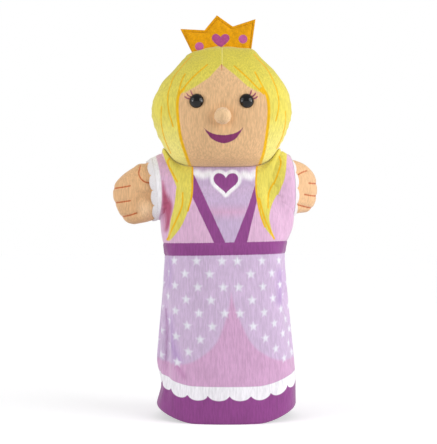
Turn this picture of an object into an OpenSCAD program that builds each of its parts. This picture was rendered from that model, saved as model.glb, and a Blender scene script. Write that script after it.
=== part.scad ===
// Plush glove puppet: a stuffed head on a finger tube, two mitten arms in cap sleeves,
// and a bell-shaped dress that is open at the hem for the hand.
// Millimetres. The puppet stands upright on its hem, faces -Y, and Z = 0 is the hem.
// Left is -X, as seen from the front.

/* [Cloth] */
// Thickness of the plush cloth
cloth = 1.8; // [1.4:0.1:2.2]
// Air between two cloth pieces that move past each other
running_gap = 0.7; // [0.5:0.1:1]

/* [Dress] */
// Width of the dress at the hem
hem_w = 120; // [110:1:130]
// Depth of the dress at the hem
hem_d = 76; // [66:1:84]
// Lift of the hem at the side seams
hem_lift = 10; // [4:1:12]
// Height of the cloth turned up inside the hem
hem_turn = 22; // [14:1:28]
// Height of the waist above the hem
waist_z = 138; // [128:1:142]
// Width of the dress at the waist
waist_w = 103; // [98:1:108]
// Depth of the dress at the waist
waist_d = 64; // [58:1:68]
// Width of the dress at the chest
chest_w = 106; // [102:1:112]
// Depth of the dress at the chest
chest_d = 58; // [54:1:62]
// Height of the neckline at the front, above the hem
neckline_z = 197; // [194:1:199]
// Depth of the dress at the neckline
neckline_d = 46; // [43:1:48]
// Height of the shoulder tips above the hem
shoulder_z = 225; // [224:0.5:227]
// Front to back opening of each armhole
armhole_d = 33; // [32:0.5:34]
// Height of each armhole
armhole_h = 52; // [51:0.5:53]

/* [Head] */
// Height of the neck joint above the hem
neck_z = 212; // [211:1:214]
// Width of the head over the hair
head_w = 120; // [108:1:126]
// Height of the head from the neck seam to the top seam
head_h = 105; // [98:1:112]
// Depth of the face in front of the side seam
face_d = 45; // [40:1:50]
// Depth of the hair behind the side seam
nape_d = 42; // [36:1:48]
// Inside diameter of the finger tube
tube_bore = 22; // [20:1:23]
// Height of the finger tube's closed end above the neck joint
tube_rise = 70; // [50:1:78]

/* [Face] */
// Diameter of each plastic eye
eye_dia = 12; // [9:0.5:14]
// Distance between the centres of the eyes
eye_spread = 41; // [34:1:48]
// Height of the eyes above the neck joint
eye_rise = 53; // [46:1:60]
// Diameter of the cloth nose
nose_dia = 15; // [12:0.5:18]
// Height of the nose above the neck joint
nose_rise = 41; // [36:1:44]

/* [Crown] */
// Width of the crown where it leaves the head seam
crown_base_w = 51; // [44:1:56]
// Width of the crown over its outer points
crown_tip_w = 65; // [58:1:70]
// Height of the middle point
crown_h = 30.5; // [26:0.5:36]
// Thickness of one felt layer
felt = 1.4; // [1:0.1:2]
// Thickness of the wadding between the felt layers
wadding = 1.6; // [1.2:0.1:2.4]
// Lean of the crown to the left
crown_lean = 7.5; // [0:0.5:10]

/* [Arms] */
// Height of the arm joints above the hem
arm_z = 194; // [193:0.5:195]
// Inset of the arm joints from the side of the chest
arm_inset = 5.5; // [5:0.5:7]
// Height of each sleeve at its lace cuff
sleeve_h = 48; // [47:0.5:49]
// Depth of each sleeve at its lace cuff
sleeve_d = 27; // [26:0.5:28]
// Length of each sleeve beyond the arm joint
sleeve_len = 14.5; // [14:0.5:16]
// Width of the lace cuff
cuff_w = 3.5; // [2.5:0.5:4.5]
// Length of each mitten beyond the arm joint
mitten_len = 46; // [42:1:50]
// Droop of the left mitten below level
left_droop = 11; // [8:1:14]
// Droop of the right mitten below level; below zero it is raised
right_droop = -4; // [-7:1:2]
// Forward swing of the left arm at rest
left_swing = 8; // [0:1:16]
// Backward swing of the right arm at rest
right_swing = 42; // [34:1:44]

/* [Hidden] */
$fn = 64;
tiny = 0.05;
roundness = 2.3;
fine_rows = 2;
dress_cols = 24;
head_cols = 18;
arm_cols = 12;
arm_x = chest_w / 2 - arm_inset;
cuff_end = sleeve_len + cuff_w;
head_z = neck_z + 0.3;
tube_r = tube_bore / 2 + cloth;
eye_stem = 2.2;
washer_t = 1.2;
front = [180, 360];
back = [0, 180];

// Dress stations: height at the middle, rise at the sides, half width, half depth, lift of the hem.
// The panels end at the neckline; the yoke goes on from there to the finger tube.
dress = [
  [0, 0, hem_w / 2, hem_d / 2, hem_lift],
  [hem_turn, 0, hem_w / 2, hem_d / 2, hem_lift],
  [waist_z, 0, waist_w / 2, waist_d / 2, 0],
  [waist_z + 22, 0, chest_w / 2, chest_d / 2 + 1.5, 0],
  [waist_z + 40, 5, chest_w / 2, chest_d / 2, 0],
  [neckline_z - 8, shoulder_z - neckline_z - 6, chest_w / 2 - 0.5, neckline_d / 2 + 3, 0],
  [neckline_z, shoulder_z - neckline_z, chest_w / 2 - 2.5, neckline_d / 2, 0],
  [neckline_z + 8, shoulder_z - neckline_z - 15, chest_w / 2 - 10.5, neckline_d / 2 - 0.5, 0],
  [neck_z - 2, 2, chest_w / 2 - 22, neckline_d / 2 - 1.5, 0],
  [neck_z - 0.2, 0, tube_r + 0.4, tube_r + 0.4, 0]
];
hem_top = 1;
neckline = 6;

// Head stations: height, half width, half depth of the face, half depth of the back
head_half = head_w / 2;
head = [
  [head_z, tube_r + 2.5, tube_r + 2.5, tube_r + 2.5],
  [head_z + 0.5, head_half * 0.43, face_d * 0.56, nape_d * 0.56],
  [head_z + head_h * 0.05, head_half * 0.66, face_d * 0.77, nape_d * 0.76],
  [head_z + head_h * 0.16, head_half * 0.81, face_d * 0.92, nape_d * 0.89],
  [head_z + head_h * 0.30, head_half * 0.93, face_d * 0.98, nape_d * 0.97],
  [head_z + head_h * 0.455, head_half, face_d, nape_d],
  [head_z + head_h * 0.59, head_half * 0.97, face_d * 0.96, nape_d * 0.96],
  [head_z + head_h * 0.76, head_half * 0.80, face_d * 0.80, nape_d * 0.81],
  [head_z + head_h * 0.89, head_half * 0.585, face_d * 0.53, nape_d * 0.56],
  [head_z + head_h * 0.965, head_half * 0.40, face_d * 0.30, nape_d * 0.32],
  [head_z + head_h, 1, 1, 1]
];

// Mitten stations along the arm: distance out, top edge, bottom edge, half depth
palm_h = sleeve_h / 2 - cloth - running_gap;
palm_d = sleeve_d / 2 - cloth - running_gap;
paw = mitten_len - cuff_end;
mitten = [
  [-2, palm_h - 5, 8.5 - palm_h, palm_d - 3],
  [sleeve_len * 0.7, palm_h - 2, 7 - palm_h, palm_d - 2],
  [cuff_end, palm_h, 2.2 - palm_h, palm_d - 0.5],
  [cuff_end + paw * 0.22, palm_h + 2.2, -palm_h - 2.8, palm_d + 0.5],
  [cuff_end + paw * 0.47, palm_h + 0.6, -palm_h - 2.8, palm_d + 0.3],
  [cuff_end + paw * 0.68, palm_h * 0.88, -palm_h - 1, palm_d * 0.88],
  [cuff_end + paw * 0.86, palm_h * 0.69, -palm_h * 0.72, palm_d * 0.66],
  [cuff_end + paw * 0.965, palm_h * 0.38, -palm_h * 0.25, palm_d * 0.36],
  [mitten_len, palm_h * 0.09, palm_h * 0.04, 0.6]
];

// Sleeve stations along the arm: distance out, half height, half depth,
// share of the arm's swing and droop, and how far the top and bottom stand out from the sides
sleeve_root_h = armhole_h / 2 - 0.4;
sleeve_root_d = armhole_d / 2 - 0.4;
sleeve = [
  [-6, sleeve_root_h, sleeve_root_d, 0, 8],
  [-2.5, sleeve_root_h, sleeve_root_d, 0, 7],
  [sleeve_len * 0.46, (sleeve_root_h + sleeve_h / 2) / 2, sleeve_root_d - 0.3, 0.6, 2.5],
  [sleeve_len - 1.5, sleeve_h / 2, sleeve_d / 2, 1, 0],
  [sleeve_len, sleeve_h / 2, sleeve_d / 2, 1, 0]
];

function last(list) = len(list) - 1;
function unit(v) = v / norm(v);
function bulge(v) = sign(v) * pow(abs(v), 2 / roundness);

// Smooth value of one column of a station table, t counting stations
function slope(table, i, col) =
  i == 0 || i == last(table) ? 0
  : let (before = table[i][col] - table[i - 1][col], after = table[i + 1][col] - table[i][col])
    before * after <= 0 ? 0 : 2 * before * after / (before + after);
function smooth(table, t, col) =
  let (
    i = min(max(floor(t), 0), last(table) - 1),
    u = min(max(t - i, 0), 1),
    v = 1 - u
  )
  table[i][col] * v * v * (1 + 2 * u) + slope(table, i, col) * u * v * v
  + table[i + 1][col] * u * u * (3 - 2 * u) - slope(table, i + 1, col) * u * u * v;

// Station count t at which a table's first column has the value z
function station_at(table, z, low = 0, high = 1000, turns = 24) =
  let (top = min(high, last(table)), mid = (low + top) / 2)
  turns == 0 ? mid
  : smooth(table, mid, 0) < z ? station_at(table, z, mid, top, turns - 1)
  : station_at(table, z, low, mid, turns - 1);

function dress_at(t, turn) = [
  smooth(dress, t, 2) * bulge(cos(turn)),
  smooth(dress, t, 3) * bulge(sin(turn)),
  smooth(dress, t, 0) + smooth(dress, t, 1) * pow(abs(cos(turn)), 3)
    + smooth(dress, t, 4) * pow(max(0, (abs(cos(turn)) - 0.4) / 0.6), 1.5)
];

function head_at(t, turn) = [
  smooth(head, t, 1) * bulge(cos(turn)),
  smooth(head, t, sin(turn) < 0 ? 2 : 3) * bulge(sin(turn)),
  smooth(head, t, 0)
];

function mitten_at(t, turn) =
  let (top = smooth(mitten, t, 1), low = smooth(mitten, t, 2))
  [
    smooth(mitten, t, 0),
    smooth(mitten, t, 3) * bulge(sin(turn)),
    (top + low) / 2 - (top - low) / 2 * bulge(cos(turn))
  ];

function sleeve_at(t, turn, swing, droop) =
  let (
    out = smooth(sleeve, t, 0) + smooth(sleeve, t, 4) * pow(cos(turn), 2),
    up = -smooth(sleeve, t, 1) * bulge(cos(turn)),
    v = smooth(sleeve, t, 2) * bulge(sin(turn)),
    bend = swing * smooth(sleeve, t, 3),
    drop = droop * smooth(sleeve, t, 3),
    u = out * cos(drop) + up * sin(drop)
  )
  [u * cos(bend) - v * sin(bend), u * sin(bend) + v * cos(bend), up * cos(drop) - out * sin(drop)];

function cuff_at(t, turn) = [
  sleeve_len + tiny + cuff_w * t,
  sleeve_d / 2 * bulge(sin(turn)),
  -sleeve_h / 2 * bulge(cos(turn))
];

// Outward normal of a form, and the point a given depth below it
function normal_at(form, t, turn, limit) =
  let (
    across = form(t, turn + 0.5) - form(t, turn - 0.5),
    along = form(min(t + 0.02, limit), turn) - form(max(t - 0.02, 0), turn)
  )
  unit(cross(across, along));
function below(form, t, turn, limit, depth) =
  form(t, turn) - depth * normal_at(form, t, turn, limit);

// One skin of points over a form, row by row
function skin(form, span, rows, cols, reach, limit, depth) = [
  for (i = [0 : rows])
    for (j = [0 : cols])
      below(form, reach * i / rows, span[0] + (span[1] - span[0]) * j / cols, limit, depth)
];
function skin_faces(rows, cols, start, flip) = [
  for (i = [0 : rows - 1])
    for (j = [0 : cols - 1])
      let (
        a = start + i * (cols + 1) + j,
        b = a + 1,
        c = a + cols + 2,
        d = a + cols + 1
      )
      each flip ? [[a, b, c], [a, c, d]] : [[c, b, a], [d, c, a]]
];
// Strip that joins two rows of points
function strip(from, to) = [
  for (k = [0 : last(from) - 1])
    each [[from[k], from[k + 1], to[k + 1]], [from[k], to[k + 1], to[k]]]
];

// A cloth panel between two depths below a form; a capped panel has no hole at its far end
module panel(form, span, reach, limit, cols, inner, capped) {
  rows = reach * fine_rows;
  count = (rows + 1) * (cols + 1);
  points = concat(
    skin(form, span, rows, cols, reach, limit, 0),
    skin(form, span, rows, cols, reach, limit, inner)
  );
  first = [for (j = [0 : cols]) j];
  far = [for (j = [0 : cols]) rows * (cols + 1) + j];
  one = [for (i = [0 : rows]) i * (cols + 1)];
  other = [for (i = [0 : rows]) i * (cols + 1) + cols];
  deep = count;
  faces = concat(
    skin_faces(rows, cols, 0, false),
    skin_faces(rows, cols, count, true),
    strip(first, [for (k = first) k + deep]),
    capped
      ? [[for (j = [cols : -1 : 0]) far[j]], [for (k = far) k + deep],
         [far[0], far[0] + deep, far[cols] + deep, far[cols]]]
      : strip([for (k = far) k + deep], far),
    strip([for (k = one) k + deep], one),
    strip(other, [for (k = other) k + deep])
  );
  polyhedron(points, faces, convexity = 6);
}

// A closed ring of cloth between two depths below a form; a lead opens a hair's gap at its first row
module ring(form, stretch, limit, cols, outer, inner, lead = 0) {
  rows = (stretch[1] - stretch[0]) * fine_rows;
  count = (rows + 1) * cols;
  points = [
    for (depth = [outer, inner])
      for (i = [0 : rows])
        for (j = [0 : cols - 1])
          let (
            turn = 360 * j / cols,
            step = i == 0 ? form(stretch[0] + lead, turn) - form(stretch[0], turn) : [0, 0, 0]
          )
          below(form, stretch[0] + i / fine_rows, turn, limit, depth) + step
  ];
  function at(i, j, deep) = deep * count + i * cols + j % cols;
  faces = concat(
    [for (i = [0 : rows - 1]) for (j = [0 : cols - 1]) each [
      [at(i + 1, j + 1, 0), at(i, j + 1, 0), at(i, j, 0)],
      [at(i + 1, j, 0), at(i + 1, j + 1, 0), at(i, j, 0)],
      [at(i, j, 1), at(i, j + 1, 1), at(i + 1, j + 1, 1)],
      [at(i, j, 1), at(i + 1, j + 1, 1), at(i + 1, j, 1)]
    ]],
    [for (j = [0 : cols - 1]) each [
      [at(0, j, 0), at(0, j + 1, 0), at(0, j + 1, 1)],
      [at(0, j, 0), at(0, j + 1, 1), at(0, j, 1)],
      [at(rows, j, 1), at(rows, j + 1, 1), at(rows, j + 1, 0)],
      [at(rows, j, 1), at(rows, j + 1, 0), at(rows, j, 0)]
    ]]
  );
  polyhedron(points, faces, convexity = 6);
}

// The solid inside the head at a depth below its cover
module head_solid(depth) {
  rows = last(head) * fine_rows;
  cols = head_cols * 2;
  points = [for (i = [0 : rows]) for (j = [0 : cols - 1])
    below(head_at_fn, last(head) * i / rows, 360 * j / cols, last(head), depth)];
  faces = concat(
    [for (i = [0 : rows - 1]) for (j = [0 : cols - 1])
      let (a = i * cols + j, b = i * cols + (j + 1) % cols)
      each [[b + cols, b, a], [a + cols, b + cols, a]]],
    [[for (j = [0 : cols - 1]) j]],
    [[for (j = [cols - 1 : -1 : 0]) rows * cols + j]]
  );
  polyhedron(points, faces, convexity = 4);
}

dress_fn = function (t, turn) dress_at(t, turn);
head_at_fn = function (t, turn) head_at(t, turn);
mitten_fn = function (t, turn) mitten_at(t, turn);
left_sleeve_fn = function (t, turn) sleeve_at(t, turn, -left_swing, left_droop);
right_sleeve_fn = function (t, turn) sleeve_at(t, turn, right_swing, right_droop);
cuff_fn = function (t, turn) cuff_at(t, turn);

// Places its children on the face, Z pointing straight out of the cloth
module on_face(x, z) {
  t = station_at(head, z);
  side = pow(abs(x) / smooth(head, t, 1), roundness / 2);
  turn = x < 0 ? 180 + acos(side) : 360 - acos(side);
  n = normal_at(head_at_fn, t, turn, last(head));
  translate(head_at(t, turn)) rotate([0, acos(n.z), atan2(n.y, n.x)]) children();
}
module at_eye(side) {
  on_face(side * eye_spread / 2, neck_z + eye_rise) children();
}
module at_nose() {
  on_face(0, neck_z + nose_rise) children();
}

// Places its children at an arm joint: X out of the armhole, Z up
module left_shoulder() {
  translate([-arm_x, 0, arm_z]) mirror([1, 0, 0]) children();
}
module right_shoulder() {
  translate([arm_x, 0, arm_z]) children();
}

module armholes() {
  outline = [
    for (turn = [0 : 7.5 : 359])
      [armhole_d / 2 * bulge(sin(turn)), armhole_h / 2 * bulge(cos(turn))]
  ];
  for (side = [-1, 1])
    translate([side * (arm_x + 2), 0, arm_z])
      rotate([90, 0, 90]) linear_extrude(chest_w / 2, center = true) polygon(outline);
}
module dress_panel(span) {
  color("#c9b2d2")
    difference() {
      panel(dress_fn, span, neckline, last(dress), dress_cols, cloth, false);
      armholes();
    }
}
module dress_front() {
  dress_panel(front);
}
module dress_back() {
  dress_panel(back);
}
module hem_facing() {
  color("#8a4486") ring(dress_fn, [0, hem_top], last(dress), dress_cols * 2, cloth + tiny, cloth * 1.8);
}
module neck_yoke() {
  color("#c9b2d2") ring(dress_fn, [neckline, last(dress)], last(dress), dress_cols * 2, 0, cloth, 0.04);
}

module finger_tube() {
  color("#e4c9a4")
    translate([0, 0, neck_z - 14])
      difference() {
        cylinder(r = tube_r, h = tube_rise + 14);
        translate([0, 0, -1]) cylinder(d = tube_bore, h = tube_rise + 15 - cloth);
      }
}

module stem_hole(wide) {
  translate([0, 0, -18]) cylinder(r = eye_stem + wide, h = 30);
}
module face_panel() {
  color("#e0b888")
    difference() {
      panel(head_at_fn, front, last(head), last(head), head_cols, cloth, true);
      at_eye(-1) stem_hole(0.1);
      at_eye(1) stem_hole(0.1);
    }
}
module hair_back_panel() {
  color("#e1d559") panel(head_at_fn, back, last(head), last(head), head_cols, cloth, true);
}
module washer_pocket() {
  translate([0, 0, -cloth - 3.4]) cylinder(d = eye_dia + 1, h = cloth + 3.4);
  translate([0, 0, -16]) cylinder(r = eye_stem + 0.3, h = 16);
}
module head_stuffing() {
  color("#f4f2ee")
    difference() {
      head_solid(cloth);
      translate([0, 0, neck_z - 20]) cylinder(r = tube_r + running_gap, h = tube_rise + 20 + running_gap);
      at_eye(-1) washer_pocket();
      at_eye(1) washer_pocket();
    }
}

module eye() {
  dome_h = eye_dia * 0.36;
  dome_r = (eye_dia * eye_dia / 4 + dome_h * dome_h) / (2 * dome_h);
  color("#242021") {
    translate([0, 0, tiny])
      intersection() {
        translate([0, 0, dome_h - dome_r]) sphere(r = dome_r);
        cylinder(d = eye_dia + 4, h = dome_h + 1);
      }
    translate([0, 0, -14]) cylinder(r = eye_stem, h = 14 + tiny * 2);
  }
}
module washer() {
  color("#f0f0ee")
    translate([0, 0, -cloth - 0.6 - washer_t])
      difference() {
        cylinder(d = eye_dia, h = washer_t);
        translate([0, 0, -1]) cylinder(r = eye_stem + tiny, h = washer_t + 2);
      }
}
module left_eye() {
  at_eye(-1) eye();
}
module right_eye() {
  at_eye(1) eye();
}
module left_eye_washer() {
  at_eye(-1) washer();
}
module right_eye_washer() {
  at_eye(1) washer();
}

module nose_ball(r) {
  difference() {
    at_nose() translate([0, 0, nose_dia * 0.26]) sphere(r = r);
    head_solid(-tiny);
  }
}
module nose_cover() {
  color("#e6c79c")
    difference() {
      nose_ball(nose_dia / 2);
      at_nose() translate([0, 0, nose_dia * 0.26]) sphere(r = nose_dia / 2 - 1.2);
    }
}
module nose_stuffing() {
  color("#f4f2ee") nose_ball(nose_dia / 2 - 1.2);
}

// Crown outline in the plane of the head's side seam; its foot follows the top of the head
function lean(p) =
  let (c = cos(crown_lean), s = sin(crown_lean))
  [p.x * c - p.y * s, head_z + head_h * 0.965 + p.x * s + p.y * c];
crown_top = [
  [crown_base_w / 2, 0],
  [crown_tip_w / 2, crown_h * 0.75],
  [crown_base_w * 0.24, crown_h * 0.63],
  [0, crown_h],
  [-crown_base_w * 0.24, crown_h * 0.63],
  [-crown_tip_w / 2, crown_h * 0.75],
  [-crown_base_w / 2, 0]
];
module crown_outline() {
  polygon([for (p = crown_top) lean(p), lean([-crown_base_w / 2, -8]), lean([crown_base_w / 2, -8])]);
}
module crown_layer(y, thick, inset) {
  difference() {
    translate([0, y + thick, 0])
      rotate([90, 0, 0])
        linear_extrude(thick) offset(delta = -inset) crown_outline();
    head_solid(-tiny);
  }
}
module crown_front() {
  color("#e09d06") crown_layer(-wadding / 2 - felt, felt, 0);
}
module crown_back() {
  color("#e09d06") crown_layer(wadding / 2, felt, 0);
}
module crown_wadding() {
  color("#f4f2ee") crown_layer(-wadding / 2, wadding, 2);
}

module sleeve_tube(form) {
  color("#dcb4d2") ring(form, [0, last(sleeve)], last(sleeve), arm_cols * 2, 0, cloth);
}
module cuff(droop) {
  color("#f2eee8")
    rotate([0, droop, 0]) ring(cuff_fn, [0, 1], 1, arm_cols * 2, 0, cloth);
}
module mitten_half(span, droop) {
  color("#e2b78d")
    rotate([0, droop, 0])
      panel(mitten_fn, span, last(mitten), last(mitten), arm_cols, cloth, true);
}
module left_sleeve() {
  left_shoulder() sleeve_tube(left_sleeve_fn);
}
module left_cuff() {
  left_shoulder() rotate(-left_swing) cuff(left_droop);
}
module left_hand_front() {
  left_shoulder() rotate(-left_swing) mitten_half(front, left_droop);
}
module left_hand_back() {
  left_shoulder() rotate(-left_swing) mitten_half(back, left_droop);
}
module right_sleeve() {
  right_shoulder() sleeve_tube(right_sleeve_fn);
}
module right_cuff() {
  right_shoulder() rotate(right_swing) cuff(right_droop);
}
module right_hand_front() {
  right_shoulder() rotate(right_swing) mitten_half(front, right_droop);
}
module right_hand_back() {
  right_shoulder() rotate(right_swing) mitten_half(back, right_droop);
}

dress_front();
dress_back();
hem_facing();
neck_yoke();
finger_tube();
face_panel();
hair_back_panel();
head_stuffing();
left_eye();
right_eye();
left_eye_washer();
right_eye_washer();
nose_cover();
nose_stuffing();
crown_front();
crown_back();
crown_wadding();
left_sleeve();
left_cuff();
left_hand_front();
left_hand_back();
right_sleeve();
right_cuff();
right_hand_front();
right_hand_back();
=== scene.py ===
"""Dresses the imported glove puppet: printed velour, felt crown, lace cuffs, plastic eyes, light and camera."""

from functools import partial

import bmesh
import bpy
import numpy as np
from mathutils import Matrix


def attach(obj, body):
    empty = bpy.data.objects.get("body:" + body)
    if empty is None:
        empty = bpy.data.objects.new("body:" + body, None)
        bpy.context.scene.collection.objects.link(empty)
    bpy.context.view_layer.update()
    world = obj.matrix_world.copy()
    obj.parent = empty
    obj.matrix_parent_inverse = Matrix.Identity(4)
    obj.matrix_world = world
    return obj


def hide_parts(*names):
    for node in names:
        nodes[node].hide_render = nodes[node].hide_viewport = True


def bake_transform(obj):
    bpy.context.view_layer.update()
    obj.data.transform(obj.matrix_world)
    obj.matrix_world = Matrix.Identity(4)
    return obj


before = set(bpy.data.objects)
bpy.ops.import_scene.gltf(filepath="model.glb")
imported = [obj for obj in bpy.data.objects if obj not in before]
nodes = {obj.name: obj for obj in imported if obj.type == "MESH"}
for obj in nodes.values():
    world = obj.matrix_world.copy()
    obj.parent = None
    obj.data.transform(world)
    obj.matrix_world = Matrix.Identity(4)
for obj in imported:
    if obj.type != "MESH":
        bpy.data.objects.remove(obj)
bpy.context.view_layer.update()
scene = bpy.context.scene
MM = 0.001


def put(name, data):
    """A new object in the scene."""
    obj = bpy.data.objects.new(name, data)
    scene.collection.objects.link(obj)
    return obj


# Camera at the photograph's viewpoint, in millimetres
EYE_X = -2.58
EYE_Y = -800.0
EYE_Z = 166.3
camera = bpy.data.cameras.new("camera")
camera.sensor_fit = "VERTICAL"
camera.sensor_height = 36
camera.lens = 75.4
scene.camera = put("camera", camera)
scene.camera.location = (EYE_X * MM, EYE_Y * MM, EYE_Z * MM)
scene.camera.rotation_euler = (np.pi / 2, 0, 0)
scene.view_settings.view_transform = "Standard"

# Sizes shared with the solids, in millimetres and degrees
ROUNDNESS = 2.3
# Thickness of the cloths
CLOTH = 1.6
THIN_CLOTH = 1.2
LACE_CLOTH = 0.9
TUBE_CLOTH = 1.8
ARM_X = 47.5
ARM_Z = 194.0
DROOP = {-1: np.radians(11), 1: np.radians(-4)}
SWING = {-1: np.radians(-8), 1: np.radians(40)}
ARMHOLE_D = 15.5
ARMHOLE_H = 25.0
# Share of each armhole that stays open: the rest of the dress runs on inside the sleeve
ARMHOLE_OPEN = 0.72
NECKLINE = 6
# Dress stations: height, rise at the sides, half width, half depth, lift of the hem
DRESS = [
    (0, 0, 60, 38, 10), (22, 0, 60, 38, 10), (138, 0, 51.5, 32, 0), (160, 0, 53, 30.5, 0),
    (178, 5, 53, 29, 0), (189, 24, 52.5, 26, 0), (197, 32.4, 50.5, 23, 0), (205, 16.4, 42.5, 22.9, 0),
    (212.5, 1.8, 31, 22.4, 0), (212.2, 0, 13.2, 13.2, 0),
]
# Lean of the skirt to the viewer's right, nip at its left and fullness under the right arm: heights, moves
LEAN = [(0, 3.8), (138, 2.6), (172, 0)]
NIP = [(13, 0), (28, 6.5), (43, 0)]
GUSSET = [(125, 0), (138, 0.6), (149, 1.6), (156, 5), (164, 9), (176, 9.5), (190, 6), (212, 0)]
# Head stations: height, half width, half depth of the face, half depth of the back
HEAD = [
    (212.3, 15.3, 15.3, 15.3), (212.8, 25.8, 25.2, 23.5), (217.55, 39.6, 34.65, 31.9),
    (229.1, 48.6, 41.4, 37.4), (243.8, 55.8, 44.1, 40.7), (260.1, 60, 45, 42), (274.25, 58.2, 43.2, 40.3),
    (292.1, 48, 36, 34), (305.75, 35.1, 23.85, 23.5), (313.6, 24, 13.5, 13.4), (317.3, 1, 1, 1),
]
# Mitten stations: distance out, top edge, bottom edge, half depth
MITTEN = [
    (-2, 16.5, -14.5, 8), (10.15, 24.4, -22.2, 11.9), (18, 26.4, -23.6, 11.9), (24.2, 24.1, -24.1, 11.8),
    (31.2, 21.2, -24.1, 11.3), (37, 17.8, -22.2, 9.7), (42.1, 13.4, -15.6, 7.3), (45, 7.6, -5.4, 4),
    (46, 1.9, 0.9, 0.6),
]
# Fullness of the mittens' upper and lower edges at each station
EVEN = [1.0] * len(MITTEN)
FULL = {-1: (EVEN, EVEN), 1: ([1, 1, 0.945, 1] + [1.02] * 5, [1, 1, 0.93] + [0.9] * 6)}
# Sleeve stations: distance out, half height, half depth, share of the arm's turn, bow of the top and
# the bottom, rise of the top
SLEEVE = [
    (-6, 25.6, 16.1, 0, 8, 5), (-2.5, 25.6, 16.1, 0, 7, 5), (6.67, 25.4, 15.8, 0.6, 2.5, 3.4),
    (13, 25.4, 13.5, 1, 0, 0.9), (14.5, 25.4, 13.5, 1, 0, 0.4), (16, 25.4, 13.5, 1, 0, 0),
]
# Share of the mitten's droop that its sleeve takes
SLEEVE_DROOP = 0.55
# How much deeper each sleeve is below, and how much higher above
SLEEVE_DEEP = {-1: 0.0, 1: 1.4}
SLEEVE_HIGH = {-1: 0.0, 1: 2.4}
# Names of the sides, as seen from the front
LABEL = {-1: "left", 1: "right"}
# Turn round a form at which it faces the viewer, and the whole way round
FRONT = 1.5 * np.pi
ROUND = 2 * np.pi


# Forms
def bulge(v):
    return np.sign(v) * np.abs(v) ** (2 / ROUNDNESS)


def smooth(table, t, col):
    column = np.array([row[col] for row in table], float)
    before, after = np.diff(column)[:-1], np.diff(column)[1:]
    slope = np.zeros(len(column))
    same = before * after > 0
    slope[1:-1][same] = 2 * (before * after)[same] / (before + after)[same]
    t = np.asarray(t, float)
    i = np.clip(np.floor(t).astype(int), 0, len(column) - 2)
    u = np.clip(t - i, 0, 1)
    v = 1 - u
    low = column[i] * v * v * (1 + 2 * u) + slope[i] * u * v * v
    return low + column[i + 1] * u * u * (3 - 2 * u) - slope[i + 1] * u * u * v


def together(*parts):
    return np.stack(np.broadcast_arrays(*parts), -1)


def hem_rise(t, turn):
    return smooth(DRESS, t, 4) * np.maximum(0, (np.abs(np.cos(turn)) - 0.4) / 0.6) ** 1.5


def dress_at(t, turn):
    c, s = np.cos(turn), np.sin(turn)
    return together(
        smooth(DRESS, t, 2) * bulge(c),
        smooth(DRESS, t, 3) * bulge(s),
        smooth(DRESS, t, 0) + smooth(DRESS, t, 1) * np.abs(c) ** 3 + hem_rise(t, turn),
    )


def at_height(z, table):
    """Values of a table by height, with its corners rounded."""
    rows = np.array(table, float)
    fine = np.arange(-30.0, 260.0)
    weight = np.exp(-((np.arange(-20, 21) / 8) ** 2))
    values = np.pad(np.interp(fine, rows[:, 0], rows[:, 1]), 20, mode="edge")
    return np.interp(z, fine, np.convolve(values, weight / weight.sum(), mode="valid"))


def swayed(p, turn):
    moved = p.copy()
    full = at_height(p[..., 2], GUSSET) * np.maximum(np.cos(turn), 0) ** 2
    nip = at_height(p[..., 2], NIP) * np.maximum(-np.cos(turn), 0) ** 4
    moved[..., 0] += at_height(p[..., 2], LEAN) + full + nip
    return moved


def head_at(t, turn):
    s = bulge(np.sin(turn))
    depth = np.where(s < 0, smooth(HEAD, t, 2), smooth(HEAD, t, 3))
    return together(smooth(HEAD, t, 1) * bulge(np.cos(turn)), depth * s, smooth(HEAD, t, 0))


def turned(p, side, share, droop=1.0):
    """Droops and swings points of an arm's own frame, and sets them at the shoulder."""
    drop, swing = DROOP[side] * share * droop, SWING[side] * share
    out = p[..., 0] * np.cos(drop) + p[..., 2] * np.sin(drop)
    up = p[..., 2] * np.cos(drop) - p[..., 0] * np.sin(drop)
    x = out * np.cos(swing) - p[..., 1] * np.sin(swing)
    y = out * np.sin(swing) + p[..., 1] * np.cos(swing)
    return together(side * (ARM_X + x), y, ARM_Z + up)


def mitten_at(t, turn, side):
    upper, lower = (np.interp(t, range(len(MITTEN)), shares) for shares in FULL[side])
    top, low = smooth(MITTEN, t, 1) * upper, smooth(MITTEN, t, 2) * lower
    p = together(
        smooth(MITTEN, t, 0),
        smooth(MITTEN, t, 3) * bulge(np.sin(turn)),
        (top + low) / 2 - (top - low) / 2 * bulge(np.cos(turn)),
    )
    return turned(p, side, 1)


def sleeve_at(t, turn, side):
    c = np.cos(turn)
    above = np.maximum(-c, 0) ** 2
    below = np.maximum(c, 0) ** 2
    p = together(
        smooth(SLEEVE, t, 0) + smooth(SLEEVE, t, 4) * c**2,
        smooth(SLEEVE, t, 2) * bulge(np.sin(turn)),
        -smooth(SLEEVE, t, 1) * bulge(c) + smooth(SLEEVE, t, 5) * above,
    )
    p[..., 2] += SLEEVE_HIGH[side] * above - SLEEVE_DEEP[side] * below
    return turned(p, side, smooth(SLEEVE, t, 3) * np.ones_like(turn), SLEEVE_DROOP)


# Grids and meshes
def run_length(p, axis=0):
    step = np.linalg.norm(np.diff(p, axis=axis), axis=-1)
    start = np.zeros_like(np.take(step, [0], axis=axis))
    return np.concatenate([start, np.cumsum(step, axis=axis)], axis=axis)


def spaced(form, start, stop, step):
    """Values from start to stop at which a form's points lie a step apart."""
    fine = np.linspace(start, stop, 900)
    run = run_length(form(fine))
    return np.interp(np.linspace(0, run[-1], int(run[-1] / step) + 2), run, fine)


def stations(form, start, stop, step):
    """A column of stations, a step apart up the form's front."""
    return spaced(lambda v: form(v, np.full_like(v, FRONT)), start, stop, step)[:, None]


def turns(form, station, start, stop, step):
    """A row of turns, a step apart round the form at one station."""
    return spaced(lambda v: form(np.full_like(v, station), v), start, stop, step)[None, :]


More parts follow.
